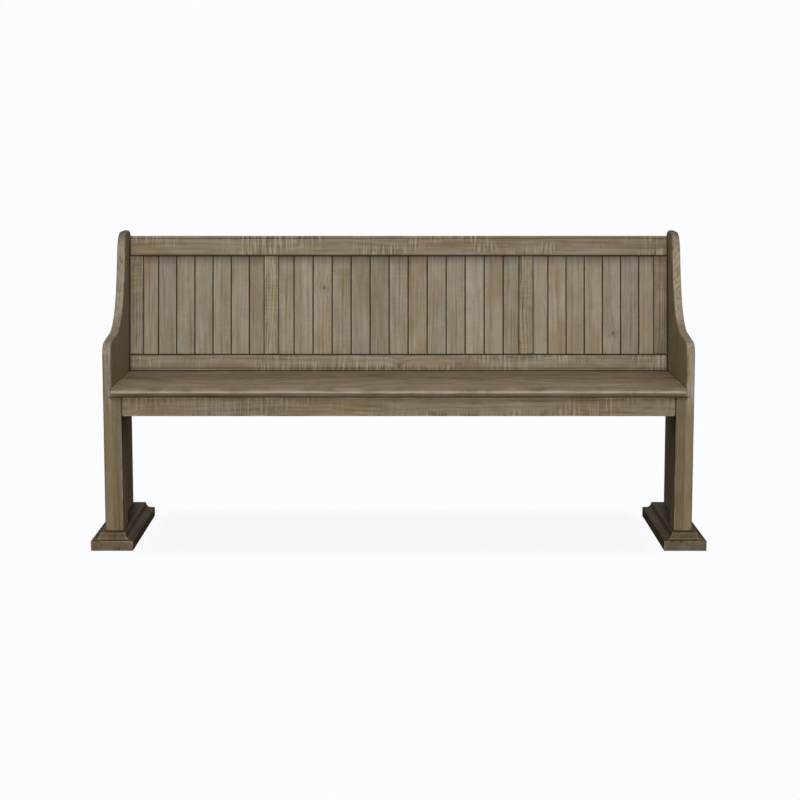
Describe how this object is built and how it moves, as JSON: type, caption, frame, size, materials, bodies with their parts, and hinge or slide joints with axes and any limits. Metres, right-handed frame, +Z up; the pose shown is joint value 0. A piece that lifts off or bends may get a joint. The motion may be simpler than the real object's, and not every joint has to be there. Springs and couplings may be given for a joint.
{
  "type": "long wooden bench",
  "caption": "Long all-wood bench with a reclined plank back, S-curved solid side panels, a flat seat and sled feet with a cove moulding.",
  "frame": {"origin": "middle of the bench's bounding box, on the floor", "axes": "+X to the sitter's left along the seat, which is to the right seen from the front, the front faces -Y, +Z up"},
  "size_m": [1.75, 0.5742, 0.8823],
  "materials": {
    "side_wood": "weathered grey-brown, matte wax",
    "foot_wood": "weathered grey-brown, matte wax",
    "leg_wood": "weathered grey-brown, matte wax",
    "inner_wood": "weathered grey-brown, matte wax",
    "seat_wood": "weathered grey-brown, matte wax",
    "rail_wood": "weathered grey-brown, matte wax",
    "stile_wood": "weathered grey-brown, matte wax",
    "slat_wood": "weathered grey-brown, matte wax",
    "dowel_wood": "plain sanded dowel",
    "zinc_steel": "bright zinc plate"
  },
  "bodies": {
    "root": {"side_panel_left": "side_wood", "side_panel_right": "side_wood", "foot_left": "foot_wood", "foot_right": "foot_wood", "front_post_left": "leg_wood", "front_post_right": "leg_wood", "front_apron": "leg_wood", "rear_apron": "inner_wood", "seat_rib": "inner_wood", "cleat_left": "inner_wood", "cleat_right": "inner_wood", "seat_panel": "seat_wood", "seat_nosing": "seat_wood", "top_rail": "rail_wood", "bottom_rail": "rail_wood", "stile_left_end": "stile_wood", "stile_left": "stile_wood", "stile_right": "stile_wood", "stile_right_end": "stile_wood", "slat_01": "slat_wood", "slat_02": "slat_wood", "slat_03": "slat_wood", "slat_04": "slat_wood", "slat_05": "slat_wood", "slat_06": "slat_wood", "slat_07": "slat_wood", "slat_08": "slat_wood", "slat_09": "slat_wood", "slat_10": "slat_wood", "slat_11": "slat_wood", "slat_12": "slat_wood", "slat_13": "slat_wood", "slat_14": "slat_wood", "slat_15": "slat_wood", "slat_16": "slat_wood", "slat_17": "slat_wood", "slat_18": "slat_wood", "slat_19": "slat_wood", "slat_20": "slat_wood", "slat_21": "slat_wood", "slat_22": "slat_wood", "slat_23": "slat_wood", "slat_24": "slat_wood", "slat_25": "slat_wood", "slat_26": "slat_wood", "slat_27": "slat_wood", "post_dowels": "dowel_wood", "rail_bolts": "zinc_steel", "apron_bolts": "zinc_steel", "barrel_nuts": "zinc_steel", "foot_screws": "zinc_steel", "cleat_screws": "zinc_steel", "seat_screws": "zinc_steel"}
  },
  "joints": []
}
